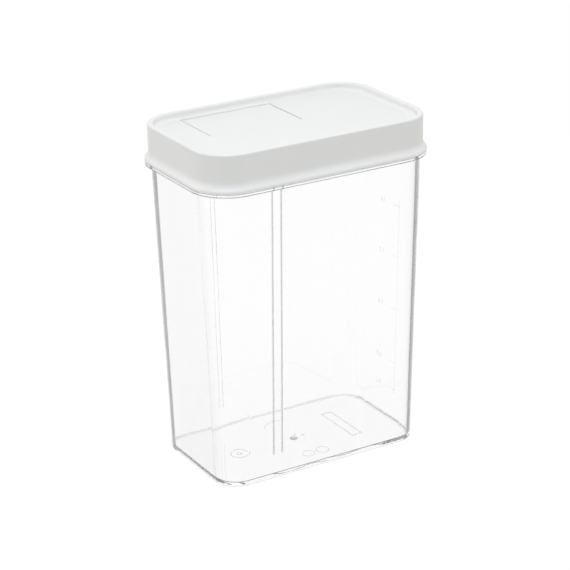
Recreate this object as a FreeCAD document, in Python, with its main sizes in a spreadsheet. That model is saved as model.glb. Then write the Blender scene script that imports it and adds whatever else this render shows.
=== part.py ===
import FreeCAD, Part
import math
import os
from enum import IntEnum

import PartDesign
import Sketcher
from FreeCAD import Vector

# Driving sizes in millimetres. X runs along the long side, the front is at -Y, Z is up.
SIZES = {
    # Clear container: flange that carries the lid. Every round-cornered outline is an even inset of it
    "flange_length": 159.2,
    "flange_width": 101.3,
    "flange_corner": 24.9,
    "flange_thickness": 2.5,
    "flange_round": 0.6,
    "flange_height": 191.4,
    # Clear container: drafted walls, from the base up to the flange
    "flange_overhang": 3.8,
    "wall_taper": 5.7,
    "base_round": 0.8,
    "wall": 2.0,
    "floor_thickness": 2.4,
    "floor_round": 1.2,
    # Clear container: neck inside the lid
    "neck_head_gap": 1.0,
    "neck_wall": 1.5,
    "neck_round": 0.5,
    # Clear container: relief and gate mark under the floor
    "foot_width": 3.6,
    "foot_relief": 0.6,
    "gate_diameter": 11.5,
    "gate_depth": 0.5,
    "gate_offset": 2.4,
    "gate_reach": -3.3,
    # Clear container: guide ribs on the long walls
    "rib_width": 1.2,
    "rib_depth": 1.0,
    "rib_round": 0.55,
    "front_rib_pitch": 6.0,
    "front_rib_offset": -33.4,
    "rear_rib_pitch": 4.0,
    "rear_rib_offset": -31.0,
    "rib_foot": 15.0,
    "rib_head_gap": 1.0,
    # Lid: skirt that flares to its lower edge, and raised rim
    "lid_height": 22.7,
    "flare_reach": 2.4,
    "flare_edge": 1.3,
    "flare_height": 2.6,
    "flare_crest": 2.6,
    "flare_cove": 6.0,
    "skirt_wall": 1.9,
    "lid_clearance": 0.35,
    "rim_thickness": 3.6,
    "rim_round": 0.8,
    # Lid: recessed top panel and sealing lip
    "recess_depth": 4.5,
    "recess_round": 2.2,
    "panel_thickness": 1.8,
    "lip_clearance": 0.35,
    "lip_thickness": 1.4,
    "lip_height": 6.0,
    # Lid: seat of the flap and pour opening
    "slit": 0.9,
    "rear_margin": 0.4,
    "frame_wall": 1.3,
    "ledge_width": 3.0,
    "ledge_thickness": 1.5,
    "hinge_shelf": 5.0,
    "nose_relief": 0.4,
    "nose_relief_reach": 1.2,
    "opening_corner": 3.2,
    "collar_thickness": 1.4,
    "collar_height": 4.0,
    # Pour flap
    "flap_width": 61.0,
    "flap_offset": -18.0,
    "flap_round": 0.3,
    "hinge_offset": 4.5,
    "hinge_gap": 0.4,
    "plug_clearance": 0.9,
    "plug_thickness": 1.4,
    "plug_height": 4.5,
    "dish_length": 25.0,
    "dish_width": 13.0,
    "dish_depth": 1.2,
    "dish_offset": -6.0,
    "dish_reach": 20.0,
}

# Insets from the flange's outline, as formulas over the sheet
BASE_INSET = "(sizes.flange_overhang + sizes.wall_taper)"
FLOOR_INSET = f"({BASE_INSET} + sizes.wall)"
FOOT_INSET = f"({BASE_INSET} + sizes.foot_width)"
HOLLOW_INSET = "(sizes.flare_reach + sizes.skirt_wall)"
NECK_INSET = f"({HOLLOW_INSET} + sizes.lid_clearance)"
MOUTH_INSET = f"({NECK_INSET} + sizes.neck_wall)"
LIP_INSET = f"({MOUTH_INSET} + sizes.lip_clearance)"
RECESS_INSET = "(sizes.flare_reach + sizes.rim_thickness)"

# Heights: the panel and the neck, counted from the lid's lower edge, and the neck's mouth, from the base
PANEL_TOP = "(sizes.lid_height - sizes.recess_depth)"
PANEL_UNDERSIDE = f"({PANEL_TOP} - sizes.panel_thickness)"
NECK_RISE = f"({PANEL_UNDERSIDE} - sizes.neck_head_gap)"
MOUTH_HEIGHT = f"(sizes.flange_height + {NECK_RISE})"

# The flap and its opening, seen from above. Depths run from the hinge line to the rear
SEAT_REAR = f"(sizes.flange_width / 2 - {RECESS_INSET} - sizes.recess_round - sizes.rear_margin)"
SEAT_FRONT = "(sizes.hinge_offset - sizes.panel_thickness / 2 - sizes.hinge_gap)"
SEAT_LENGTH = "(sizes.flap_width + 2 * sizes.slit)"
FLAP_DEPTH = f"({SEAT_REAR} - sizes.slit - sizes.hinge_offset)"
OPENING_LENGTH = "(sizes.flap_width - 2 * sizes.ledge_width)"
OPENING_FRONT = "(sizes.hinge_offset + sizes.hinge_shelf)"
OPENING_REAR = f"(sizes.hinge_offset + {FLAP_DEPTH} - sizes.ledge_width)"
OPENING_WIDTH = f"({OPENING_REAR} - {OPENING_FRONT})"


class Spot(IntEnum):
    """Points of a line or an arc, as sketches number them."""

    START = 1
    END = 2
    CENTRE = 3


ORIGIN_POINT = (-1, Spot.START)
QUARTER_TURN = math.pi / 2
FLAT = 1e-4

doc = FreeCAD.newDocument("grain_container")


def fill_sheet():
    """Spreadsheet with one aliased cell for each driving size."""
    sheet = doc.addObject("Spreadsheet::Sheet", "sizes")
    for row, (alias, size) in enumerate(SIZES.items(), start=1):
        sheet.set(f"A{row}", alias)
        sheet.set(f"B{row}", str(size))
        sheet.setAlias(f"B{row}", alias)
    doc.recompute()
    return sheet


sheet = fill_sheet()


def measure(formula):
    """Present value of a formula over the sheet."""
    return float(sheet.evalExpression(formula))


def new_body(name):
    """Empty body whose label names its file."""
    body = doc.addObject("PartDesign::Body", name)
    body.Label = name
    return body


def new_sketch(body, name, height="0", role="XY_Plane"):
    """Empty sketch on one of the body's own planes, lifted along that plane's normal."""
    sketch = body.newObject("Sketcher::SketchObject", name)
    plane = next(feature for feature in body.Origin.OriginFeatures if feature.Role == role)
    sketch.AttachmentSupport = [(plane, "")]
    sketch.MapMode = "FlatFace"
    sketch.setExpression("AttachmentOffset.Base.z", height)
    return sketch


def constrain(sketch, formula, *constraint):
    """Dimension of a sketch that follows a formula."""
    index = sketch.addConstraint(Sketcher.Constraint(*constraint, measure(formula)))
    sketch.setExpression(f"Constraints[{index}]", formula)


def draw_rectangle(sketch, length, width, corner, centre_x="0", centre_y="0"):
    """Rectangle with round corners in a sketch, fully constrained by formulas."""
    radius = measure(corner)
    reach_x = measure(length) / 2 - radius
    reach_y = measure(width) / 2 - radius
    middle = Vector(measure(centre_x), measure(centre_y), 0)
    sides = ((1, -1), (1, 1), (-1, 1), (-1, -1))
    centres = [middle + Vector(x * reach_x, y * reach_y, 0) for x, y in sides]
    lines = []
    arcs = []
    for turn, centre in enumerate(centres):
        angle = (turn - 1) * QUARTER_TURN
        spoke = Vector(math.cos(angle), math.sin(angle), 0) * radius
        lines.append(sketch.addGeometry(Part.LineSegment(centres[turn - 1] + spoke, centre + spoke)))
        circle = Part.Circle(centre, Vector(0, 0, 1), radius)
        arcs.append(sketch.addGeometry(Part.ArcOfCircle(circle, angle, angle + QUARTER_TURN)))
    for turn in range(len(centres)):
        following = lines[(turn + 1) % len(lines)]
        sketch.addConstraint(Sketcher.Constraint("Tangent", lines[turn], Spot.END, arcs[turn], Spot.START))
        sketch.addConstraint(Sketcher.Constraint("Tangent", arcs[turn], Spot.END, following, Spot.START))
        sketch.addConstraint(Sketcher.Constraint("Vertical" if turn % 2 else "Horizontal", lines[turn]))
    for arc in arcs[1:]:
        sketch.addConstraint(Sketcher.Constraint("Equal", arcs[0], arc))
    front, right, rear, left = lines
    constrain(sketch, corner, "Radius", arcs[0])
    constrain(sketch, length, "DistanceX", left, Spot.START, right, Spot.START)
    constrain(sketch, width, "DistanceY", front, Spot.START, rear, Spot.START)
    constrain(sketch, f"{centre_x} + {length} / 2", "DistanceX", *ORIGIN_POINT, right, Spot.START)
    constrain(sketch, f"{centre_y} + {width} / 2", "DistanceY", *ORIGIN_POINT, rear, Spot.START)


def draw_inset(sketch, inset):
    """The flange's outline drawn in by an even inset."""
    length, width = (f"(sizes.flange_{side} - 2 * {inset})" for side in ("length", "width"))
    draw_rectangle(sketch, length, width, f"(sizes.flange_corner - {inset})")


def outline(body, name, height, *insets):
    """Sketch of one inset outline at a height, or of the wall between two of them."""
    sketch = new_sketch(body, name, height)
    for inset in insets:
        draw_inset(sketch, inset)
    return sketch


def rectangle(body, name, height, length, width, corner, centre_x="0", centre_y="0", wall=None):
    """Sketch of a round-cornered rectangle, or of a wall of even thickness just inside it."""
    sketch = new_sketch(body, name, height)
    draw_rectangle(sketch, length, width, corner, centre_x, centre_y)
    if wall:
        inner_length, inner_width = (f"({size} - 2 * {wall})" for size in (length, width))
        draw_rectangle(sketch, inner_length, inner_width, f"({corner} - {wall})", centre_x, centre_y)
    return sketch


def extrude(body, kind, name, sketch, length, flip=False, spread=None):
    """Pad or Pocket of a sketch. A spread widens it evenly towards its far end."""
    feature = body.newObject(f"PartDesign::{kind}", name)
    feature.Profile = sketch
    feature.setExpression("Length", length)
    feature.Reversed = flip
    if spread:
        feature.setExpression("TaperAngle", f"atan({spread} / ({length}))")
    doc.recompute()
    return feature


def loft(body, name, lower, upper):
    """Straight-sided solid between two outlines."""
    feature = body.newObject("PartDesign::AdditiveLoft", name)
    feature.Profile = lower
    feature.Sections = [upper]
    feature.Ruled = True
    doc.recompute()
    return feature


def rim_edges(feature, height, outer=True, inner=True):
    """Names of the edges round the flat faces at a height: their outer rings, their holes, or both."""
    level = measure(height)
    names = []
    for face in feature.Shape.Faces:
        box = face.BoundBox
        if box.ZLength > FLAT or abs(box.ZMin - level) > FLAT:
            continue
        for wire in face.Wires:
            if outer if wire.isSame(face.OuterWire) else inner:
                names += [f"Edge{number}" for number, edge in enumerate(feature.Shape.Edges, start=1)
                          if any(edge.isSame(other) for other in wire.Edges)]
    return names


def level_edges(feature, height):
    """Names of the edges that lie level at a height."""
    level = measure(height)
    return [f"Edge{number}" for number, edge in enumerate(feature.Shape.Edges, start=1)
            if edge.BoundBox.ZLength < FLAT and abs(edge.BoundBox.ZMin - level) < FLAT]


def fillet(body, name, base, edges, radius):
    """Fillet of named edges."""
    feature = body.newObject("PartDesign::Fillet", name)
    feature.Base = (base, edges)
    feature.setExpression("Radius", radius)
    doc.recompute()
    return feature


def inside_half_width(height):
    """Formula of the distance from the middle plane to the inside of a long wall, at a height."""
    climb = f"(({height}) - sizes.floor_thickness) / ({MOUTH_HEIGHT} - sizes.floor_thickness)"
    return f"(sizes.flange_width / 2 - {FLOOR_INSET} + ({FLOOR_INSET} - {MOUTH_INSET}) * {climb})"


def rib_section(body, name, height, wall, side, place):
    """Outline of one guide rib at a height, rooted half way into its wall."""
    depth = "(sizes.rib_depth + sizes.wall / 2)"
    centre_x = f"(sizes.{wall}_rib_offset + {place} * sizes.{wall}_rib_pitch / 2)"
    centre_y = f"({side} * ({inside_half_width(height)} + sizes.wall / 2 - {depth} / 2))"
    return rectangle(body, name, height, "sizes.rib_width", depth, "sizes.rib_round", centre_x, centre_y)


def make_container():
    """Clear container: drafted tub with a flange for the lid and a neck above it."""
    body = new_body("container")
    base = outline(body, "base_outline", "0", BASE_INSET)
    tub = extrude(body, "Pad", "tub", base, "sizes.flange_height", spread="sizes.wall_taper")
    fillet(body, "base_edge", tub, rim_edges(tub, "0"), "sizes.base_round")

    flange_outline = outline(body, "flange_outline", "sizes.flange_height", "0")
    flange = extrude(body, "Pad", "flange", flange_outline, "sizes.flange_thickness", flip=True)
    underside = "sizes.flange_height - sizes.flange_thickness"
    fillet(body, "flange_edge", flange, rim_edges(flange, underside, inner=False), "sizes.flange_round")

    neck_outline = outline(body, "neck_outline", "sizes.flange_height", NECK_INSET)
    extrude(body, "Pad", "neck", neck_outline, NECK_RISE)
    floor = outline(body, "floor_outline", "sizes.floor_thickness", FLOOR_INSET)
    inside = extrude(body, "Pocket", "inside", floor, f"{MOUTH_HEIGHT} - sizes.floor_thickness",
                     flip=True, spread=f"({FLOOR_INSET} - {MOUTH_INSET})")
    floor_edge = fillet(body, "floor_edge", inside, rim_edges(inside, "sizes.floor_thickness"),
                        "sizes.floor_round")
    fillet(body, "mouth_edge", floor_edge, rim_edges(floor_edge, MOUTH_HEIGHT), "sizes.neck_round")

    relief = outline(body, "relief_outline", "0", FOOT_INSET)
    extrude(body, "Pocket", "foot_relief", relief, "sizes.foot_relief", flip=True)
    gate = new_sketch(body, "gate_outline", "sizes.foot_relief")
    centre = Vector(measure("sizes.gate_offset"), measure("sizes.gate_reach"), 0)
    circle = gate.addGeometry(Part.Circle(centre, Vector(0, 0, 1), measure("sizes.gate_diameter / 2")))
    constrain(gate, "sizes.gate_offset", "DistanceX", *ORIGIN_POINT, circle, Spot.CENTRE)
    constrain(gate, "sizes.gate_reach", "DistanceY", *ORIGIN_POINT, circle, Spot.CENTRE)
    constrain(gate, "sizes.gate_diameter", "Diameter", circle)
    extrude(body, "Pocket", "gate_mark", gate, "sizes.gate_depth", flip=True)

    rib_top = "sizes.flange_height - sizes.flange_thickness - sizes.rib_head_gap"
    for wall, side in (("front", -1), ("rear", 1)):
        for edge, place in (("left", -1), ("right", 1)):
            name = f"{wall}_{edge}_rib"
            foot = rib_section(body, f"{name}_foot", "sizes.rib_foot", wall, side, place)
            head = rib_section(body, f"{name}_head", rib_top, wall, side, place)
            loft(body, name, foot, head)
    return body


def make_lid():
    """White lid, modelled from its lower edge: flared skirt, recessed panel, flap seat and lip."""
    body = new_body("lid")
    extrude(body, "Pad", "skirt", outline(body, "skirt_outline", "0", "sizes.flare_reach"), "sizes.lid_height")
    extrude(body, "Pad", "lower_edge", outline(body, "edge_outline", "0", "0"), "sizes.flare_edge")
    flare = extrude(body, "Pad", "flare", outline(body, "flare_outline", "sizes.flare_edge", "0"),
                    "sizes.flare_height", spread="-sizes.flare_reach")
    crest = fillet(body, "flare_crest", flare, level_edges(flare, "sizes.flare_edge"), "sizes.flare_crest")
    fillet(body, "flare_cove", crest, level_edges(crest, "sizes.flare_edge + sizes.flare_height"),
           "sizes.flare_cove")

    hollow_outline = outline(body, "hollow_outline", "0", HOLLOW_INSET)
    extrude(body, "Pocket", "hollow", hollow_outline, PANEL_UNDERSIDE, flip=True)
    recess_outline = outline(body, "recess_outline", "sizes.lid_height", RECESS_INSET)
    recess = extrude(body, "Pocket", "recess", recess_outline, "sizes.recess_depth")
    recess_edge = fillet(body, "recess_edge", recess, rim_edges(recess, PANEL_TOP), "sizes.recess_round")
    fillet(body, "rim_edge", recess_edge, rim_edges(recess_edge, "sizes.lid_height"), "sizes.rim_round")

    lip_outline = outline(body, "lip_outline", PANEL_UNDERSIDE, LIP_INSET, f"({LIP_INSET} + sizes.lip_thickness)")
    extrude(body, "Pad", "sealing_lip", lip_outline, "sizes.lip_height", flip=True)
    cut_flap_seat(body)
    body.setExpression("Placement.Base.z", "sizes.flange_height")
    return body


def cut_flap_seat(body):
    """Seat for the flap in the lid's panel, with a ledge below it and the pour opening through the ledge.

    The ledge is relieved under the flap's round nose, so that the nose turns freely.
    """
    seat_width = f"({SEAT_REAR} - {SEAT_FRONT})"
    seat_centre = f"({SEAT_REAR} + {SEAT_FRONT}) / 2"
    frame_length, frame_width = (f"({size} + 2 * sizes.frame_wall)" for size in (SEAT_LENGTH, seat_width))
    frame_outline = rectangle(body, "frame_outline", PANEL_UNDERSIDE, frame_length, frame_width,
                              "(sizes.slit + sizes.frame_wall)", "sizes.flap_offset", seat_centre)
    extrude(body, "Pad", "ledge", frame_outline, "sizes.ledge_thickness", flip=True)

    opening_centre = f"({OPENING_REAR} + {OPENING_FRONT}) / 2"
    around = [f"({size} + 2 * sizes.collar_thickness)" for size in (OPENING_LENGTH, OPENING_WIDTH)]
    collar_outline = rectangle(body, "collar_outline", f"({PANEL_UNDERSIDE} - sizes.ledge_thickness)", *around,
                               "(sizes.opening_corner + sizes.collar_thickness)", "sizes.flap_offset",
                               opening_centre, wall="sizes.collar_thickness")
    extrude(body, "Pad", "collar", collar_outline, "sizes.collar_height", flip=True)

    seat_outline = rectangle(body, "seat_outline", PANEL_TOP, SEAT_LENGTH, seat_width, "sizes.slit",
                             "sizes.flap_offset", seat_centre)
    extrude(body, "Pocket", "seat", seat_outline, "sizes.panel_thickness")
    relief_rear = "(sizes.hinge_offset + sizes.nose_relief_reach)"
    relief_outline = rectangle(body, "nose_relief_outline", PANEL_UNDERSIDE, SEAT_LENGTH,
                               f"({relief_rear} - {SEAT_FRONT})", "sizes.slit", "sizes.flap_offset",
                               f"({relief_rear} + {SEAT_FRONT}) / 2")
    extrude(body, "Pocket", "nose_relief", relief_outline, "sizes.nose_relief")
    opening_outline = rectangle(body, "opening_outline", PANEL_UNDERSIDE, OPENING_LENGTH, OPENING_WIDTH,
                                "sizes.opening_corner", "sizes.flap_offset", opening_centre)
    extrude(body, "Pocket", "opening", opening_outline, "sizes.ledge_thickness")


def make_pour_flap():
    """White pour flap, modelled from its hinge line: plate with a round nose, plug wall and finger dish."""
    body = new_body("pour_flap")
    profile = new_sketch(body, "flap_profile", role="YZ_Plane")
    half = measure("sizes.panel_thickness / 2")
    depth = measure(FLAP_DEPTH)
    below, above = Vector(0, -half, 0), Vector(0, half, 0)
    rear_below, rear_above = Vector(depth, -half, 0), Vector(depth, half, 0)
    for start, end in ((below, rear_below), (rear_below, rear_above), (rear_above, above)):
        profile.addGeometry(Part.LineSegment(start, end))
    nose_circle = Part.Circle(Vector(), Vector(0, 0, 1), half)
    profile.addGeometry(Part.ArcOfCircle(nose_circle, QUARTER_TURN, 3 * QUARTER_TURN))
    bottom, rear, top, nose = range(4)
    for first, second in ((bottom, rear), (rear, top)):
        profile.addConstraint(Sketcher.Constraint("Coincident", first, Spot.END, second, Spot.START))
    for first, second in ((top, nose), (nose, bottom)):
        profile.addConstraint(Sketcher.Constraint("Tangent", first, Spot.END, second, Spot.START))
    profile.addConstraint(Sketcher.Constraint("Horizontal", top))
    profile.addConstraint(Sketcher.Constraint("Vertical", rear))
    profile.addConstraint(Sketcher.Constraint("Coincident", nose, Spot.CENTRE, *ORIGIN_POINT))
    constrain(profile, "sizes.panel_thickness / 2", "Radius", nose)
    constrain(profile, FLAP_DEPTH, "DistanceX", *ORIGIN_POINT, rear, Spot.START)
    plate = extrude(body, "Pad", "plate", profile, "sizes.flap_width")
    plate.Midplane = True
    doc.recompute()
    top_edges = [f"Edge{number}" for number, edge in enumerate(plate.Shape.Edges, start=1)
                 if edge.BoundBox.ZMin > half - FLAT and edge.BoundBox.YMax > FLAT]
    fillet(body, "plate_edge", plate, top_edges, "sizes.flap_round")

    plug = [f"({size} - 2 * sizes.plug_clearance)" for size in (OPENING_LENGTH, OPENING_WIDTH)]
    plug_centre = f"(({OPENING_REAR} + {OPENING_FRONT}) / 2 - sizes.hinge_offset)"
    plug_outline = rectangle(body, "plug_outline", "-sizes.panel_thickness / 2", *plug,
                             "(sizes.opening_corner - sizes.plug_clearance)", "0", plug_centre,
                             wall="sizes.plug_thickness")
    extrude(body, "Pad", "plug", plug_outline, "sizes.plug_height", flip=True)

    # The dish is the lower cap of an ellipsoid that is centred one dish depth above the plate
    dish = body.newObject("PartDesign::SubtractiveEllipsoid", "finger_dish")
    dish.setExpression("Radius1", "2 * sizes.dish_depth")
    dish.setExpression("Radius2", "sizes.dish_length / sqrt(3)")
    dish.setExpression("Radius3", "sizes.dish_width / sqrt(3)")
    dish.setExpression("Placement.Base.x", "sizes.dish_offset")
    dish.setExpression("Placement.Base.y", "sizes.dish_reach")
    dish.setExpression("Placement.Base.z", "sizes.panel_thickness / 2 + sizes.dish_depth")

    body.setExpression("Placement.Base.x", "sizes.flap_offset")
    body.setExpression("Placement.Base.y", "sizes.hinge_offset")
    body.setExpression("Placement.Base.z",
                       f"sizes.flange_height + {PANEL_TOP} - sizes.panel_thickness / 2")
    return body


def check(bodies):
    """Stop if any object failed or any piece has no sound shape."""
    failed = [item.Label for item in doc.Objects if {"Invalid", "Error"} & set(item.State)]
    if failed:
        raise RuntimeError(f"failed objects: {failed}")
    for body in bodies:
        if body.Shape.isNull() or not body.Shape.isValid() or len(body.Shape.Solids) != 1:
            raise RuntimeError(f"{body.Label} is not one sound solid")


bodies = [make_container(), make_lid(), make_pour_flap()]
doc.recompute()
check(bodies)
os.makedirs("parts", exist_ok=True)
for body in bodies:
    body.Shape.exportStep(f"parts/{body.Label}.step")
    box = body.Shape.optimalBoundingBox()
    print(f"{body.Label}: {box.XLength:.1f} x {box.YLength:.1f} x {box.ZLength:.1f} mm")
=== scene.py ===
"""Finish of a clear grain container with a white pour-flap lid, and the studio that shows it."""

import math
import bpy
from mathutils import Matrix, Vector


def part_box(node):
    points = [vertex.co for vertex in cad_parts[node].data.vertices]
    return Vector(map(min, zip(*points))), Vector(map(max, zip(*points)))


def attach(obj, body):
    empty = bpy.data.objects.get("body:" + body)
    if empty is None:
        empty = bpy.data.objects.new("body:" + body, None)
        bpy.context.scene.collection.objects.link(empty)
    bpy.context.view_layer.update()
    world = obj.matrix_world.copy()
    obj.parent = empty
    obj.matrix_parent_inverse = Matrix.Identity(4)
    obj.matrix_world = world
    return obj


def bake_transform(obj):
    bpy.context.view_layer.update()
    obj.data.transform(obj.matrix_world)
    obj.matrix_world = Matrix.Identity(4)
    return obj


bl_info = {
    "name": "Grain container",
    "version": (1, 0, 0),
    "blender": (4, 5, 0),
    "location": "View3D > Sidebar > Grain container",
    "description": "Plastic finishes, moulded marks, film hinge and studio of a grain container",
    "category": "Object",
}

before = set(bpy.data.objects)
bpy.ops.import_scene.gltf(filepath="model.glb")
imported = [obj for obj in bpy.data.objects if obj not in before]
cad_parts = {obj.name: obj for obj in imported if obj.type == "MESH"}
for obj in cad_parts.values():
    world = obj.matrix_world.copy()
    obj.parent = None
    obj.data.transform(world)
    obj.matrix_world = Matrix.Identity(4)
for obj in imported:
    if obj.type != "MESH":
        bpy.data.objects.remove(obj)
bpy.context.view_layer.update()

import bmesh
import bpy
from bpy.props import FloatProperty, FloatVectorProperty, IntProperty, PointerProperty
from bpy.types import Operator, Panel, PropertyGroup
from mathutils import Matrix, Vector

LID_LOW, _ = (Vector(corner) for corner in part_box("lid"))
FLAP_LOW, FLAP_HIGH = (Vector(corner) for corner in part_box("pour_flap"))
# The lid stands on the flange, and the flap's top is level with the lid's panel
FLANGE_TOP = LID_LOW.z
PANEL_TOP = FLAP_HIGH.z

# Side of the picture in pixels, and width of the camera's sensor in millimetres
PICTURE_SIDE = 570
SENSOR_WIDTH = 36.0

# Gap in metres that keeps an added mark clear of the CAD face it stands on
CONTACT_GAP = 0.00002
# Points nearer to each other than this are one point
MERGE_DISTANCE = 0.000001

# Steps of a full ring, fewest steps of an arc, and points round the section of both
RING_STEPS = 48
ARC_LEAST_STEPS = 6
RING_SECTION_POINTS = 12
# Points round the gate's stub, and strips across the film hinge
STUB_POINTS = 32
WEB_STRIPS = 16

# Span that holds most of a noise's values
NOISE_LOW = 0.3
NOISE_HIGH = 0.7
# Half a step, which parts one whole count from the next
HALF_STEP = 0.5
WHITE = (1.0, 1.0, 1.0)


def length(name, description, default):
    """Property that holds a length in metres."""
    return FloatProperty(name=name, description=description, default=default, precision=5, unit="LENGTH")


def point(name, description, default):
    """Property that holds a length in metres for each direction."""
    return FloatVectorProperty(name=name, description=description, default=default, size=len(default),
                               precision=5, subtype="XYZ", unit="LENGTH")


def angle(name, description, degrees):
    """Property that holds an angle, given here in degrees."""
    return FloatProperty(name=name, description=description, default=math.radians(degrees), subtype="ANGLE")


def share(name, description, default):
    """Property that holds a number from 0 to 1."""
    return FloatProperty(name=name, description=description, default=default, min=0.0, max=1.0,
                         subtype="FACTOR")


def number(name, description, default):
    """Property that holds a plain number."""
    return FloatProperty(name=name, description=description, default=default, min=0.0)


def count(name, description, default):
    """Property that holds a whole number."""
    return IntProperty(name=name, description=description, default=default, min=0)


def power(name, description, default):
    """Property that holds a lamp's power in watts."""
    return FloatProperty(name=name, description=description, default=default, min=0.0, subtype="POWER")


def colour(name, description, default):
    """Property that holds a colour."""
    return FloatVectorProperty(name=name, description=description, default=default, min=0.0, max=1.0,
                               subtype="COLOR")


class ClearPlasticSettings(PropertyGroup):
    """Clear moulded plastic of the container."""

    tint: colour("Tint", "Colour of light that passes through a surface", WHITE)
    index: FloatProperty(name="Index", description="Index of refraction", default=1.57, min=1.0, max=2.0)
    polish: share("Polish", "Roughness of the polished walls", 0.015)
    haze: share("Haze", "Roughness of the moulded marks", 0.22)
    spread: share("Spread", "Share of itself by which a roughness varies", 0.2)
    depth_tint: colour("Depth tint", "Colour that light takes on inside the wall", (0.70, 0.74, 0.78))
    depth_density: number("Depth density", "How fast light takes on that colour", 2.0)
    ripple: share("Ripple", "Strength of the slow unevenness of the walls", 0.02)
    ripple_size: length("Ripple size", "Distance between swells of a wall", 0.06)
    mark_tint: colour("Mark tint", "Colour of light that passes through the marks under the floor",
                      (0.86, 0.86, 0.86))
    broken_haze: share("Broken haze", "Roughness of the broken gate", 0.35)
    # Painted shade: the gate's broken stub is tinted dark for the shade that it shows
    broken_shade_tint: colour("Broken tint", "Colour of light that passes through the broken gate",
                        (0.62, 0.62, 0.62))
    # Painted shade: dark lines along the two front ribs, where their edges would show shade
    rib_shade_tint: colour("Line tint", "Colour of light that passes through a rib's dark line",
                      (0.36, 0.36, 0.36))
    line_width: length("Line width", "Width of a rib's dark line", 0.0008)
    rib_shade_soft: length("Line softness", "Width over which a dark line fades out", 0.0003)
    rib_places: point("Rib places", "Places of the two front ribs along the wall", (-0.0364, -0.0304))
    rib_foot: length("Rib foot", "Height of the ribs' lower end", 0.0155)
    rib_reach: length("Rib reach", "Distance of the ribs from the middle, at least", 0.0350)
    wall_middle: length("Wall middle", "Distance of the front wall's middle layer from the middle, "
                        "at the base", 0.03965)
    wall_lean: number("Wall lean", "Outward lean of the front wall for each unit of height", 0.0298)
    # Painted shadow of the lid: a dark band on the flange's upper edge that fades out below it
    lid_shadow_tint: colour("Seam tint", "Colour of light that passes through the flange's upper edge",
                      (0.32, 0.32, 0.32))
    lid_shadow_height: length("Seam height", "Height of the flange's upper face", FLANGE_TOP)
    seam_margin: length("Seam margin", "How far above that face the seam's shade still reaches", 0.0001)
    lid_shadow_depth: length("Seam depth", "Depth at which the seam's shade starts to fade out", 0.0005)
    lid_shadow_soft: length("Seam softness", "Depth over which the seam's shade fades out", 0.0005)


class WhitePlasticSettings(PropertyGroup):
    """White moulded plastic of the lid and its flap."""

    body: colour("Colour", "Colour of the plastic", (0.890, 0.878, 0.860))
    cloud: colour("Cloud", "Colour where the pigment is a little thinner", (0.872, 0.862, 0.845))
    cloud_size: length("Cloud size", "Distance between clouds of thinner pigment", 0.03)
    gloss: share("Gloss", "Roughness of the smoothest places", 0.34)
    satin: share("Satin", "Roughness of the dullest places", 0.46)
    patch_size: length("Patch size", "Distance between dull places", 0.008)
    grain: share("Grain", "Strength of the fine grain", 0.05)
    grain_size: length("Grain size", "Distance between points of the grain", 0.0006)


class VolumeScaleSettings(PropertyGroup):
    """Raised measuring scale on the right-hand end wall."""

    line_place: length("Line place", "Distance of the upright line from the middle of the wall", -0.0120)
    foot: length("Foot", "Height of the line's lower end", 0.0190)
    head: length("Head", "Height of the line's upper end", 0.1500)
    stroke: length("Stroke", "Width of line and ticks", 0.0006)
    relief: length("Relief", "Height of the marks above the wall", 0.00014)
    softness: share("Softness", "Radius of the marks' edges as a share of their relief", 0.4)
    tick: length("Tick", "Length of a tick", 0.0060)
    number_place: length("Number place", "Where the numbers start", 0.0035)
    number_height: length("Number height", "Size of the numbers", 0.0046)
    base_reach: length("Base reach", "Distance of the end wall from the middle at the base", 0.0701)
    top_reach: length("Top reach", "Distance of the end wall from the middle at the flange", 0.0758)
    flange_height: length("Flange height", "Height of the flange's upper face", FLANGE_TOP)


class FloorMarkSettings(PropertyGroup):
    """Raised marks under the floor, and the gate's broken stub."""

    ceiling: length("Ceiling", "Height of the floor's underside inside the foot rim", 0.0006)
    relief: length("Relief", "Depth of the marks below that", 0.0004)
    softness: share("Softness", "Radius of the plate's edges as a share of the relief", 0.4)
    stroke: length("Stroke", "Width of the raised lines", 0.0007)
    thin_stroke: length("Thin stroke", "Width of the small rings and the arc", 0.00056)
    ring_place: point("Ring place", "Middle of the large ring", (-0.0389, -0.0016))
    ring_radius: length("Ring radius", "Radius of the large ring", 0.0060)
    dot_radius: length("Dot radius", "Radius of the ring inside the large one", 0.0015)
    dot_stroke: length("Dot stroke", "Width of that ring", 0.00098)
    eye_place: point("Small ring place", "Middle between the two small rings", (0.0020, -0.0248))
    eye_pitch: length("Small ring pitch", "Distance between the middles of the small rings", 0.0100)
    eye_radius: length("Small ring radius", "Radius of a small ring", 0.0040)
    arc_place: point("Arc place", "Middle of the faint arc", (0.0010, 0.0170))
    arc_radius: length("Arc radius", "Radius of the faint arc", 0.0100)
    arc_start: angle("Arc start", "Where the arc starts, from the right", 60.0)
    arc_turn: angle("Arc turn", "How far the arc goes round", 100.0)
    plate_place: point("Plate place", "Middle of the bare plate", (0.0372, 0.0006))
    plate_size: point("Plate size", "Width and length of the bare plate", (0.0075, 0.0380))
    stub_place: point("Stub place", "Middle of the gate's broken stub", (-0.0002, -0.0018))
    stub_radius: length("Stub radius", "Radius of the stub at its root", 0.0026)
    stub_tip: length("Stub tip", "Radius of the stub at its broken end", 0.0016)
    stub_depth: length("Stub depth", "Length of the stub", 0.0007)
    stub_softness: share("Stub softness", "Radius of the broken end's edge as a share of the length", 0.3)
    gate_ceiling: length("Gate ceiling", "Height of the gate mark's bottom", 0.0011)


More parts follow.
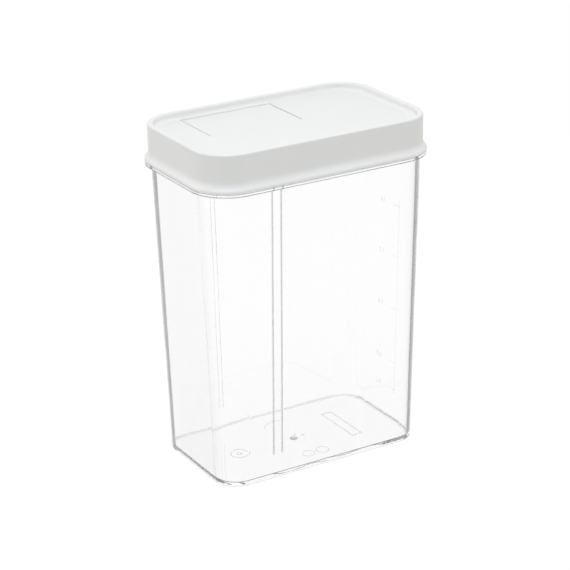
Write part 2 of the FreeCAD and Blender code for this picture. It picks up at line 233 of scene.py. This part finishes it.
class FilmHingeSettings(PropertyGroup):
    """Thin web between the lid's panel and the flap."""

    axis_place: length("Axis place", "Distance of the hinge line from the middle of the lid", 0.0045)
    seat_front: length("Seat front", "Distance of the seat's front wall from the middle of the lid", 0.0032)
    panel_top: length("Panel top", "Height of the lid's panel", PANEL_TOP)
    overlap: length("Overlap", "Reach of the web on to the panel and the flap", 0.0012)
    lift: length("Lift", "Height of the web's edges above the panel", 0.00001)
    thickness: length("Thickness", "Rise of the web from its edges to its middle", 0.00010)
    root: length("Root", "Depth of the web's underside below the panel's top", 0.00005)
    end_margin: length("End margin", "Distance of the web's ends from the flap's ends", 0.0004)


class StudioSettings(PropertyGroup):
    """Camera, lamps and floor."""

    azimuth: angle("Azimuth", "Turn of the camera about the object, from the front", -30.482)
    elevation: angle("Elevation", "Height of the camera as an angle", 21.852)
    roll: angle("Roll", "Tilt of the camera about its view", -1.097)
    distance: length("Distance", "Distance of the camera from its aim", 1.2669)
    focal_pixels: number("Focal length", "Focal length in pixels of the picture", 2053.4)
    aim: point("Aim", "Point in the middle of the picture", (-0.00260, 0.00013, 0.10608))
    clip_start: length("Clip start", "Nearest distance that the camera sees", 0.01)
    floor_side: length("Floor side", "Side of the floor", 12.0)
    floor_gap: length("Floor gap", "Gap between the floor and the foot", 0.00005)
    floor_paper: colour("Floor paper", "Colour of the light that the floor gives back", (0.70, 0.69, 0.67))
    floor_glow: share("Floor glow", "Part of the seen floor's brightness that no shadow takes away", 0.95)
    floor_shade: share("Floor shade", "Brightness of the part that shows the shadow", 0.09)
    room: share("Room light", "Strength of the light from all round", 0.575)
    room_tint: colour("Room tint", "Colour of the light from all round", (1.0, 0.985, 0.965))
    room_fall: share("Room fall", "Share of that light missing on the camera's side, added behind", 0.42)
    edge_light: share("Edge light", "Brightness that light turned back inside a clear edge meets", 0.22)
    edge_turns: count("Edge turns", "Most turns inside an edge that still look dark", 2)
    edge_walls: count("Edge walls", "Most surfaces passed that still look dark", 2)
    bounces: count("Bounces", "How often light may turn inside the clear plastic", 256)
    ceiling_power: power("Ceiling lamp", "Power of the lamp overhead", 7.9)
    ceiling_side: length("Ceiling lamp side", "Side of the lamp overhead", 0.9)
    ceiling_place: point("Ceiling lamp place", "Middle of the lamp overhead", (-0.28, -0.50, 1.26))
    ceiling_tint: colour("Ceiling lamp tint", "Colour of the lamp overhead", (0.84, 0.937, 1.0))
    left_power: power("Left lamp", "Power of the lamp at the rear left", 3.4)
    left_side: length("Left lamp side", "Side of the lamp at the rear left", 1.0)
    left_place: point("Left lamp place", "Middle of the lamp at the rear left", (-1.25, 0.75, 0.6))
    left_tint: colour("Left lamp tint", "Colour of the lamp at the rear left", WHITE)
    right_power: power("Right lamp", "Power of the lamp at the front right", 1.9)
    right_side: length("Right lamp side", "Side of the lamp at the front right", 1.0)
    right_place: point("Right lamp place", "Middle of the lamp at the front right", (1.35, -0.8, 0.6))
    right_tint: colour("Right lamp tint", "Colour of the lamp at the front right", (1.0, 0.98, 0.95))
    lamp_aim: point("Lamp aim", "Point that the lamps face", (0.0, 0.0, 0.15))


class GrainContainerSettings(PropertyGroup):
    """All settings of the container's looks."""

    clear: PointerProperty(type=ClearPlasticSettings)
    white: PointerProperty(type=WhitePlasticSettings)
    scale: PointerProperty(type=VolumeScaleSettings)
    floor: PointerProperty(type=FloorMarkSettings)
    hinge: PointerProperty(type=FilmHingeSettings)
    studio: PointerProperty(type=StudioSettings)


def settings():
    """The scene's settings of the container."""
    return bpy.context.scene.grain_container


def start_material(name):
    """Node material with a plastic shader, and its tree, output and shader to add to."""
    material = bpy.data.materials.new(name)
    material.use_nodes = True
    tree = material.node_tree
    tree.nodes.clear()
    output = tree.nodes.new("ShaderNodeOutputMaterial")
    plastic = tree.nodes.new("ShaderNodeBsdfPrincipled")
    tree.links.new(plastic.outputs["BSDF"], output.inputs["Surface"])
    return material, tree, output, plastic


def add_noise(tree, size, detail):
    """Noise on the piece's own coordinates, with swells of a given size."""
    place = tree.nodes.new("ShaderNodeTexCoord")
    noise = tree.nodes.new("ShaderNodeTexNoise")
    noise.inputs["Scale"].default_value = 1.0 / size
    noise.inputs["Detail"].default_value = detail
    tree.links.new(place.outputs["Object"], noise.inputs["Vector"])
    return noise.outputs["Fac"]


def add_range(tree, noise, low, high):
    """A noise's usual span, spread between two values."""
    span = tree.nodes.new("ShaderNodeMapRange")
    span.inputs["From Min"].default_value = NOISE_LOW
    span.inputs["From Max"].default_value = NOISE_HIGH
    span.inputs["To Min"].default_value = low
    span.inputs["To Max"].default_value = high
    tree.links.new(noise, span.inputs["Value"])
    return span.outputs["Result"]


def add_bump(tree, source, strength, distance):
    """Bump from a height."""
    bump = tree.nodes.new("ShaderNodeBump")
    bump.inputs["Strength"].default_value = strength
    bump.inputs["Distance"].default_value = distance
    tree.links.new(source, bump.inputs["Height"])
    return bump.outputs["Normal"]


def calculate(tree, operation, first, second=0.0):
    """Result of a calculation on two outputs, or on an output and a number."""
    node = tree.nodes.new("ShaderNodeMath")
    node.operation = operation
    tree.links.new(first, node.inputs[0])
    if isinstance(second, float):
        node.inputs[1].default_value = second
    else:
        tree.links.new(second, node.inputs[1])
    return node.outputs["Value"]


def multiply(tree, factors):
    """Product of several outputs."""
    product, *others = factors
    for factor in others:
        product = calculate(tree, "MULTIPLY", product, factor)
    return product


def add_fade(tree, source, none, full):
    """Smooth step that is 0 at one value of the source and 1 at another."""
    fade = tree.nodes.new("ShaderNodeMapRange")
    fade.interpolation_type = "SMOOTHSTEP"
    fade.inputs["From Min"].default_value = none
    fade.inputs["From Max"].default_value = full
    tree.links.new(source, fade.inputs["Value"])
    return fade.outputs["Result"]


def add_tint(tree, before, factor, tint):
    """White, or an earlier colour, that takes on a tint as far as a factor says."""
    mix = tree.nodes.new("ShaderNodeMix")
    mix.data_type = "RGBA"
    mix.blend_type = "MULTIPLY"
    mix.inputs["A"].default_value = (*WHITE, 1.0)
    if before:
        tree.links.new(before, mix.inputs["A"])
    mix.inputs["B"].default_value = (*tint, 1.0)
    tree.links.new(factor, mix.inputs["Factor"])
    return mix.outputs["Result"]


def add_lid_shadow(tree, look, rise):
    """Mask of the painted shadow of the lid: 1 at the flange's upper edge, fading out below it."""
    low = look.lid_shadow_height - look.lid_shadow_depth
    below = calculate(tree, "LESS_THAN", rise, look.lid_shadow_height + look.seam_margin)
    return multiply(tree, (add_fade(tree, rise, low - look.lid_shadow_soft, low), below))


def add_rib_wall(tree, look, depth, rise):
    """Factor that is 1 on the inner face of the front wall, where the ribs stand and their painted shade
    goes.
    """
    upright = calculate(tree, "ADD", depth, calculate(tree, "MULTIPLY", rise, look.wall_lean))
    return multiply(tree, (calculate(tree, "GREATER_THAN", rise, look.rib_foot),
                           calculate(tree, "LESS_THAN", depth, -look.rib_reach),
                           calculate(tree, "GREATER_THAN", upright, -look.wall_middle)))


def add_wall_shade(tree, look):
    """Colour of the walls: painted shade along the front ribs and a painted shadow of the lid at the
    flange's upper edge.
    """
    place = tree.nodes.new("ShaderNodeTexCoord")
    axes = tree.nodes.new("ShaderNodeSeparateXYZ")
    tree.links.new(place.outputs["Object"], axes.inputs["Vector"])
    along, depth, rise = (axes.outputs[axis] for axis in "XYZ")
    # Painted shadow of the lid at the flange's upper edge
    tint = add_tint(tree, None, add_lid_shadow(tree, look, rise), look.lid_shadow_tint)
    # Painted shade: a dark line along each front rib
    wall = add_rib_wall(tree, look, depth, rise)
    half = look.line_width / 2
    for centre in look.rib_places:
        off = calculate(tree, "ABSOLUTE", calculate(tree, "SUBTRACT", along, centre))
        line = add_fade(tree, off, half + look.rib_shade_soft, half)
        tint = add_tint(tree, tint, multiply(tree, (line, wall)), look.rib_shade_tint)
    return tint


def clear_plastic(name, roughness, tint=None, painted_shade=False):
    """Clear plastic with a slow ripple and a faint tint in its depth, and, if asked, with the walls'
    painted shade along the ribs and painted shadow of the lid at the flange.
    """
    found = bpy.data.materials.get(name)
    if found:
        return found
    look = settings().clear
    material, tree, output, plastic = start_material(name)
    plastic.inputs["Base Color"].default_value = (*(tint or look.tint), 1.0)
    if painted_shade:
        tree.links.new(add_wall_shade(tree, look), plastic.inputs["Base Color"])
    plastic.inputs["IOR"].default_value = look.index
    plastic.inputs["Transmission Weight"].default_value = 1.0
    swell = add_noise(tree, look.ripple_size, detail=1.0)
    low, high = roughness * (1.0 - look.spread), roughness * (1.0 + look.spread)
    tree.links.new(add_range(tree, swell, low, high), plastic.inputs["Roughness"])
    tree.links.new(add_bump(tree, swell, look.ripple, look.ripple_size), plastic.inputs["Normal"])
    depth = tree.nodes.new("ShaderNodeVolumeAbsorption")
    depth.inputs["Color"].default_value = (*look.depth_tint, 1.0)
    depth.inputs["Density"].default_value = look.depth_density
    tree.links.new(depth.outputs["Volume"], output.inputs["Volume"])
    return material


def white_plastic():
    """White plastic with a fine grain, cloudy gloss and hardly uneven pigment."""
    found = bpy.data.materials.get("white_plastic_satin")
    if found:
        return found
    look = settings().white
    material, tree, _, plastic = start_material("white_plastic_satin")
    pigment = tree.nodes.new("ShaderNodeMix")
    pigment.data_type = "RGBA"
    pigment.inputs["A"].default_value = (*look.cloud, 1.0)
    pigment.inputs["B"].default_value = (*look.body, 1.0)
    tree.links.new(add_noise(tree, look.cloud_size, detail=2.0), pigment.inputs["Factor"])
    tree.links.new(pigment.outputs["Result"], plastic.inputs["Base Color"])
    patch = add_noise(tree, look.patch_size, detail=3.0)
    tree.links.new(add_range(tree, patch, look.gloss, look.satin), plastic.inputs["Roughness"])
    grain = add_noise(tree, look.grain_size, detail=2.0)
    tree.links.new(add_bump(tree, grain, look.grain, look.grain_size), plastic.inputs["Normal"])
    return material


def dress(node, material):
    """Gives a CAD node its finish."""
    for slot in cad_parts[node].material_slots:
        slot.material = material


def add_piece(name, shape, material):
    """Object at the origin made from a modelled shape."""
    bmesh.ops.recalc_face_normals(shape, faces=shape.faces)
    mesh = bpy.data.meshes.new(name)
    shape.to_mesh(mesh)
    shape.free()
    mesh.materials.append(material)
    piece = bpy.data.objects.new(name, mesh)
    bpy.context.scene.collection.objects.link(piece)
    return piece


def each_once(items):
    """The items in their order, without repeats."""
    return list(dict.fromkeys(items))


def soften_edges(shape, edges, radius, segments):
    """Rounds edges, and returns the new faces."""
    bent = bmesh.ops.bevel(shape, geom=edges, offset=radius, offset_type="OFFSET", segments=segments,
                           profile=0.5, affect="EDGES", material=-1)
    return bent["faces"]


def add_bar(shape, low, high, place, soften):
    """Block between two corners in a mark's own plane, with softened edges, set in place."""
    low, high = Vector(low), Vector(high)
    block = Matrix.LocRotScale((low + high) / 2, None, high - low)
    made = bmesh.ops.create_cube(shape, size=1.0, matrix=block)
    edges = each_once(edge for vert in made["verts"] for edge in vert.link_edges)
    faces = soften_edges(shape, edges, soften, segments=2)
    verts = each_once(vert for face in faces for vert in face.verts)
    bmesh.ops.transform(shape, matrix=place, verts=verts)


def add_ring(shape, centre, radius, stroke, relief, ceiling, turn=math.tau, start=0.0):
    """Raised ring or arc under the floor, with an oval section."""
    full = turn >= math.tau
    middle = (*centre, ceiling)
    spot = (Matrix.Translation(middle) @ Matrix.Rotation(start, 4, "Z")
            @ Matrix.Translation((radius, 0.0, -relief / 2)))
    upright = Matrix.Diagonal((stroke, 1.0, relief, 1.0)) @ Matrix.Rotation(math.pi / 2, 4, "X")
    section = bmesh.ops.create_circle(shape, cap_ends=not full, radius=0.5, segments=RING_SECTION_POINTS,
                                      matrix=spot @ upright)
    verts = section["verts"]
    geometry = verts + each_once(edge for vert in verts for edge in vert.link_edges)
    geometry += each_once(face for vert in verts for face in vert.link_faces)
    steps = max(ARC_LEAST_STEPS, round(RING_STEPS * turn / math.tau))
    bmesh.ops.spin(shape, geom=geometry, cent=middle, axis=(0.0, 0.0, 1.0), angle=turn, steps=steps,
                   use_merge=full)


def add_number(shape, words, size, thickness, place):
    """Plain number as a raised mesh, set in place."""
    curve = bpy.data.curves.new("number", "FONT")
    curve.body = words
    curve.size = size
    curve.extrude = thickness / 2
    curve.align_y = "CENTER"
    carrier = bpy.data.objects.new("number", curve)
    mesh = bpy.data.meshes.new_from_object(carrier)
    mesh.transform(place @ Matrix.Translation((0.0, 0.0, thickness / 2)))
    digits = bmesh.new()
    digits.from_mesh(mesh)
    bmesh.ops.remove_doubles(digits, verts=digits.verts, dist=MERGE_DISTANCE)
    digits.to_mesh(mesh)
    digits.free()
    shape.from_mesh(mesh)
    bpy.data.objects.remove(carrier)
    bpy.data.curves.remove(curve)
    bpy.data.meshes.remove(mesh)


class CONTAINER_OT_clear_walls(Operator):
    """Give the container its clear plastic"""

    bl_idname = "grain_container.clear_walls"
    bl_label = "Clear walls"

    def execute(self, context):
        # The container's clear plastic carries painted shade along the front ribs and a painted shadow of
        # the lid at the flange
        dress("container", clear_plastic("clear_plastic_polished", settings().clear.polish, painted_shade=True))
        return {"FINISHED"}


class CONTAINER_OT_white_lid(Operator):
    """Give the lid and its flap their white plastic"""

    bl_idname = "grain_container.white_lid"
    bl_label = "White lid"

    def execute(self, context):
        for node in ("lid", "pour_flap"):
            dress(node, white_plastic())
        return {"FINISHED"}


class CONTAINER_OT_volume_scale(Operator):
    """Add the raised measuring scale to the end wall"""

    bl_idname = "grain_container.volume_scale"
    bl_label = "Volume scale"

    # Volume in litres and height in metres of each mark
    MARKS = (("0.2", 0.0217), ("0.4", 0.0405), ("0.8", 0.0771), ("1.2", 0.1123), ("1.6", 0.1462))

    def execute(self, context):
        look = settings().scale
        wall = self.wall_frame(look)
        shape = bmesh.new()
        half = look.stroke / 2
        soften = look.relief * look.softness
        add_bar(shape, (look.line_place - half, look.foot, 0.0),
                (look.line_place + half, look.head, look.relief), wall, soften)
        for words, height in self.MARKS:
            add_bar(shape, (look.line_place + half, height - half, 0.0),
                    (look.line_place + look.tick, height + half, look.relief), wall, soften)
            add_number(shape, words, look.number_height, look.relief,
                       wall @ Matrix.Translation((look.number_place, height, 0.0)))
        material = clear_plastic("clear_plastic_marks", settings().clear.haze)
        piece = add_piece("volume_scale", shape, material)
        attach(piece, "container")
        return {"FINISHED"}

    def wall_frame(self, look):
        """Frame of the end wall: along it to the right as seen from outside, up it, and out of it."""
        up = Vector((look.top_reach - look.base_reach, 0.0, look.flange_height)).normalized()
        along = Vector((0.0, 1.0, 0.0))
        out = along.cross(up)
        wall = Matrix((along, up, out)).transposed().to_4x4()
        wall.translation = Vector((look.base_reach, 0.0, 0.0)) + out * CONTACT_GAP
        return wall


class CONTAINER_OT_floor_marks(Operator):
    """Add the raised rings, the arc and the bare plate under the floor"""

    bl_idname = "grain_container.floor_marks"
    bl_label = "Floor marks"

    def execute(self, context):
        look = settings().floor
        shape = bmesh.new()
        ceiling = look.ceiling - CONTACT_GAP
        for radius, stroke in ((look.ring_radius, look.stroke), (look.dot_radius, look.dot_stroke)):
            add_ring(shape, look.ring_place, radius, stroke, look.relief, ceiling)
        for side in (-1, 1):
            centre = (look.eye_place[0] + side * look.eye_pitch / 2, look.eye_place[1])
            add_ring(shape, centre, look.eye_radius, look.thin_stroke, look.relief, ceiling)
        add_ring(shape, look.arc_place, look.arc_radius, look.thin_stroke, look.relief, ceiling,
                 turn=look.arc_turn, start=look.arc_start)
        self.add_plate(shape, look, ceiling)
        clear = settings().clear
        material = clear_plastic("clear_plastic_floor_marks", clear.haze, clear.mark_tint)
        piece = add_piece("floor_marks", shape, material)
        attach(piece, "container")
        return {"FINISHED"}

    def add_plate(self, shape, look, ceiling):
        """Raised outline of the bare plate: two long bars with two short ones between them."""
        width, depth = look.plate_size
        half = look.stroke / 2
        soften = look.relief * look.softness
        place = Matrix.Translation((*look.plate_place, ceiling - look.relief))
        for side in (-1, 1):
            edge = side * (width / 2 - half)
            add_bar(shape, (edge - half, -depth / 2, 0.0), (edge + half, depth / 2, look.relief),
                    place, soften)
            edge = side * (depth / 2 - half)
            add_bar(shape, (look.stroke - width / 2, edge - half, 0.0),
                    (width / 2 - look.stroke, edge + half, look.relief), place, soften)


class CONTAINER_OT_gate_stub(Operator):
    """Add the stub that is left in the gate mark under the floor"""

    bl_idname = "grain_container.gate_stub"
    bl_label = "Gate stub"

    def execute(self, context):
        look = settings().floor
        shape = bmesh.new()
        middle = Vector((*look.stub_place, look.gate_ceiling - CONTACT_GAP - look.stub_depth / 2))
        bmesh.ops.create_cone(shape, cap_ends=True, cap_tris=False, segments=STUB_POINTS,
                              radius1=look.stub_tip, radius2=look.stub_radius, depth=look.stub_depth,
                              matrix=Matrix.Translation(middle))
        rim = [edge for edge in shape.edges if all(vert.co.z < middle.z for vert in edge.verts)]
        soften_edges(shape, rim, look.stub_depth * look.stub_softness, segments=3)
        clear = settings().clear
        # The stub's plastic carries painted shade in its dark tint
        material = clear_plastic("clear_plastic_broken", clear.broken_haze, clear.broken_shade_tint)
        piece = add_piece("gate_stub", shape, material)
        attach(piece, "container")
        return {"FINISHED"}


class CONTAINER_OT_film_hinge(Operator):
    """Add the thin web that joins the flap to the lid's panel"""

    bl_idname = "grain_container.film_hinge"
    bl_label = "Film hinge"

    def execute(self, context):
        look = settings().hinge
        left, right = FLAP_LOW.x + look.end_margin, FLAP_HIGH.x - look.end_margin
        front, rear = look.seat_front - look.overlap, look.axis_place + look.overlap
        middle = Vector(((left + right) / 2, (front + rear) / 2, look.panel_top))
        half_width, half_depth = (right - left) / 2, (rear - front) / 2
        spread = Matrix.Translation(middle) @ Matrix.Diagonal((half_width, half_depth, 1.0, 1.0))
        shape = bmesh.new()
        bmesh.ops.create_grid(shape, x_segments=1, y_segments=WEB_STRIPS, size=1.0, matrix=spread)
        for vert in shape.verts:
            across = (vert.co.y - middle.y) / half_depth
            vert.co.z += look.lift + look.thickness * (1.0 - across * across)
        under = bmesh.ops.extrude_face_region(shape, geom=shape.faces[:])
        for part in under["geom"]:
            if isinstance(part, bmesh.types.BMVert):
                part.co.z = look.panel_top - look.root
        web = add_piece("film_hinge", shape, white_plastic())
        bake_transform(web)
        return {"FINISHED"}


class CONTAINER_OT_studio(Operator):
    """Add the floor, the lamps and the camera"""

    bl_idname = "grain_container.studio"
    bl_label = "Studio"

    def execute(self, context):
        scene = context.scene
        look = settings().studio
        scene.view_settings.view_transform = "Standard"
        self.add_floor(scene, look)
        self.light_room(scene, look)
        scene.cycles.max_bounces = look.bounces
        scene.cycles.glossy_bounces = look.bounces
        scene.cycles.transmission_bounces = look.bounces
        self.add_lamp(scene, look.lamp_aim, "ceiling_lamp", look.ceiling_power, look.ceiling_side,
                      look.ceiling_place, look.ceiling_tint)
        self.add_lamp(scene, look.lamp_aim, "left_lamp", look.left_power, look.left_side,
                      look.left_place, look.left_tint)
        self.add_lamp(scene, look.lamp_aim, "right_lamp", look.right_power, look.right_side,
                      look.right_place, look.right_tint)
        self.add_camera(scene, look)
        return {"FINISHED"}

    def add_floor(self, scene, look):
        """Pale floor that reads as white and keeps a soft shadow."""
        shape = bmesh.new()
        bmesh.ops.create_grid(shape, x_segments=1, y_segments=1, size=look.floor_side / 2,
                              matrix=Matrix.Translation((0.0, 0.0, -look.floor_gap)))
        mesh = bpy.data.meshes.new("studio_floor")
        shape.to_mesh(mesh)
        shape.free()
        mesh.materials.append(self.floor_material(look))
        floor = bpy.data.objects.new("studio_floor", mesh)
        scene.collection.objects.link(floor)

    def floor_material(self, look):
        """Paper for the light that the floor gives, and a glow with a thin shadow where it is seen."""
        material = bpy.data.materials.new("studio_floor_paper")
        material.use_nodes = True
        tree = material.node_tree
        tree.nodes.clear()
        output = tree.nodes.new("ShaderNodeOutputMaterial")
        paper = tree.nodes.new("ShaderNodeBsdfDiffuse")
        paper.inputs["Color"].default_value = (*look.floor_paper, 1.0)
        thin = tree.nodes.new("ShaderNodeBsdfDiffuse")
        thin.inputs["Color"].default_value = (look.floor_shade, look.floor_shade, look.floor_shade, 1.0)
        glow = tree.nodes.new("ShaderNodeEmission")
        glow.inputs["Strength"].default_value = look.floor_glow
        lit = tree.nodes.new("ShaderNodeAddShader")
        tree.links.new(thin.outputs["BSDF"], lit.inputs[0])
        tree.links.new(glow.outputs["Emission"], lit.inputs[1])
        edge = tree.nodes.new("ShaderNodeEmission")
        edge.inputs["Strength"].default_value = look.edge_light
        self.choose(tree, look, output, paper.outputs["BSDF"], lit.outputs["Shader"],
                    edge.outputs["Emission"])
        return material

    def choose(self, tree, look, output, unseen, seen, edge):
        """One shader for the light that a surface gives, one where it is seen, one for clear edges."""
        path = tree.nodes.new("ShaderNodeLightPath")
        shown = path.outputs["Is Camera Ray"]
        for kind in ("Is Glossy Ray", "Is Transmission Ray"):
            shown = calculate(tree, "MAXIMUM", shown, path.outputs[kind])
        tests = []
        for kind, most in (("Glossy Depth", look.edge_turns), ("Transmission Depth", look.edge_walls)):
            tests.append(calculate(tree, "GREATER_THAN", path.outputs[kind], HALF_STEP))
            tests.append(calculate(tree, "LESS_THAN", path.outputs[kind], most + HALF_STEP))
        for factor, other in ((shown, seen), (multiply(tree, tests), edge)):
            choice = tree.nodes.new("ShaderNodeMixShader")
            tree.links.new(factor, choice.inputs["Fac"])
            tree.links.new(unseen, choice.inputs[1])
            tree.links.new(other, choice.inputs[2])
            unseen = choice.outputs["Shader"]
        tree.links.new(unseen, output.inputs["Surface"])

    def light_room(self, scene, look):
        """Soft light from all round, and a white background for what is seen."""
        room = bpy.data.worlds.new("studio_room")
        scene.world = room
        room.use_nodes = True
        tree = room.node_tree
        tree.nodes.clear()
        output = tree.nodes.new("ShaderNodeOutputWorld")
        soft = self.add_background(tree, look.room_tint)
        tree.links.new(self.room_strength(tree, look), soft.inputs["Strength"])
        seen = self.add_background(tree, WHITE)
        edge = self.add_background(tree, WHITE, look.edge_light)
        self.choose(tree, look, output, *(light.outputs["Background"] for light in (soft, seen, edge)))

    def add_background(self, tree, tint, strength=1.0):
        """Light of one colour from all round."""
        light = tree.nodes.new("ShaderNodeBackground")
        light.inputs["Color"].default_value = (*tint, 1.0)
        light.inputs["Strength"].default_value = strength
        return light

    def room_strength(self, tree, look):
        """Strength of the room's light, which falls off towards the camera's side."""
        place = tree.nodes.new("ShaderNodeTexCoord")
        side = tree.nodes.new("ShaderNodeVectorMath")
        side.operation = "DOT_PRODUCT"
        side.inputs[1].default_value = self.camera_side(look, 0.0)
        tree.links.new(place.outputs["Generated"], side.inputs[0])
        fall = tree.nodes.new("ShaderNodeMapRange")
        fall.inputs["From Min"].default_value = -1.0
        fall.inputs["To Min"].default_value = look.room * (1.0 + look.room_fall)
        fall.inputs["To Max"].default_value = look.room * (1.0 - look.room_fall)
        tree.links.new(side.outputs["Value"], fall.inputs["Value"])
        return fall.outputs["Result"]

    def camera_side(self, look, elevation):
        """Direction from the object to the camera's side, at an elevation."""
        return Vector((math.sin(look.azimuth) * math.cos(elevation),
                       -math.cos(look.azimuth) * math.cos(elevation), math.sin(elevation)))

    def add_lamp(self, scene, aim, name, watts, side, place, tint):
        """Square soft lamp that faces the object."""
        lamp = bpy.data.lights.new(name, "AREA")
        lamp.energy = watts
        lamp.size = side
        lamp.color = tint
        carrier = bpy.data.objects.new(name, lamp)
        scene.collection.objects.link(carrier)
        facing = Vector(aim) - Vector(place)
        turn = facing.to_track_quat("-Z", "Y").to_matrix().to_4x4()
        carrier.matrix_world = Matrix.Translation(place) @ turn

    def add_camera(self, scene, look):
        """Camera at the picture's angle."""
        lens = bpy.data.cameras.new("camera")
        lens.sensor_width = SENSOR_WIDTH
        lens.lens = SENSOR_WIDTH * look.focal_pixels / PICTURE_SIDE
        lens.clip_start = look.clip_start
        carrier = bpy.data.objects.new("camera", lens)
        scene.collection.objects.link(carrier)
        back = self.camera_side(look, look.elevation)
        right = Vector((math.cos(look.azimuth), math.sin(look.azimuth), 0.0))
        turn = Matrix((right, back.cross(right), back)).transposed().to_4x4()
        carrier.matrix_world = (Matrix.Translation(Vector(look.aim) + back * look.distance) @ turn
                                @ Matrix.Rotation(look.roll, 4, "Z"))
        scene.camera = carrier


class CONTAINER_PT_looks(Panel):
    """Steps that finish the container"""

    bl_label = "Grain container"
    bl_idname = "CONTAINER_PT_looks"
    bl_space_type = "VIEW_3D"
    bl_region_type = "UI"
    bl_category = "Grain container"

    def draw(self, context):
        for step in STEPS:
            self.layout.operator(step.bl_idname)


STEPS = (
    CONTAINER_OT_clear_walls,
    CONTAINER_OT_white_lid,
    CONTAINER_OT_volume_scale,
    CONTAINER_OT_floor_marks,
    CONTAINER_OT_gate_stub,
    CONTAINER_OT_film_hinge,
    CONTAINER_OT_studio,
)
CLASSES = (
    ClearPlasticSettings,
    WhitePlasticSettings,
    VolumeScaleSettings,
    FloorMarkSettings,
    FilmHingeSettings,
    StudioSettings,
    GrainContainerSettings,
    *STEPS,
    CONTAINER_PT_looks,
)


def register():
    """Makes the settings, the steps and the panel known to Blender."""
    for item in CLASSES:
        bpy.utils.register_class(item)
    bpy.types.Scene.grain_container = PointerProperty(type=GrainContainerSettings)


def unregister():
    """Takes them away again."""
    del bpy.types.Scene.grain_container
    for item in reversed(CLASSES):
        bpy.utils.unregister_class(item)


def main():
    """Finishes the container and sets up the studio."""
    register()
    bpy.ops.grain_container.clear_walls()
    bpy.ops.grain_container.white_lid()
    bpy.ops.grain_container.volume_scale()
    bpy.ops.grain_container.floor_marks()
    bpy.ops.grain_container.gate_stub()
    bpy.ops.grain_container.film_hinge()
    bpy.ops.grain_container.studio()


if __name__ == "__main__":
    main()
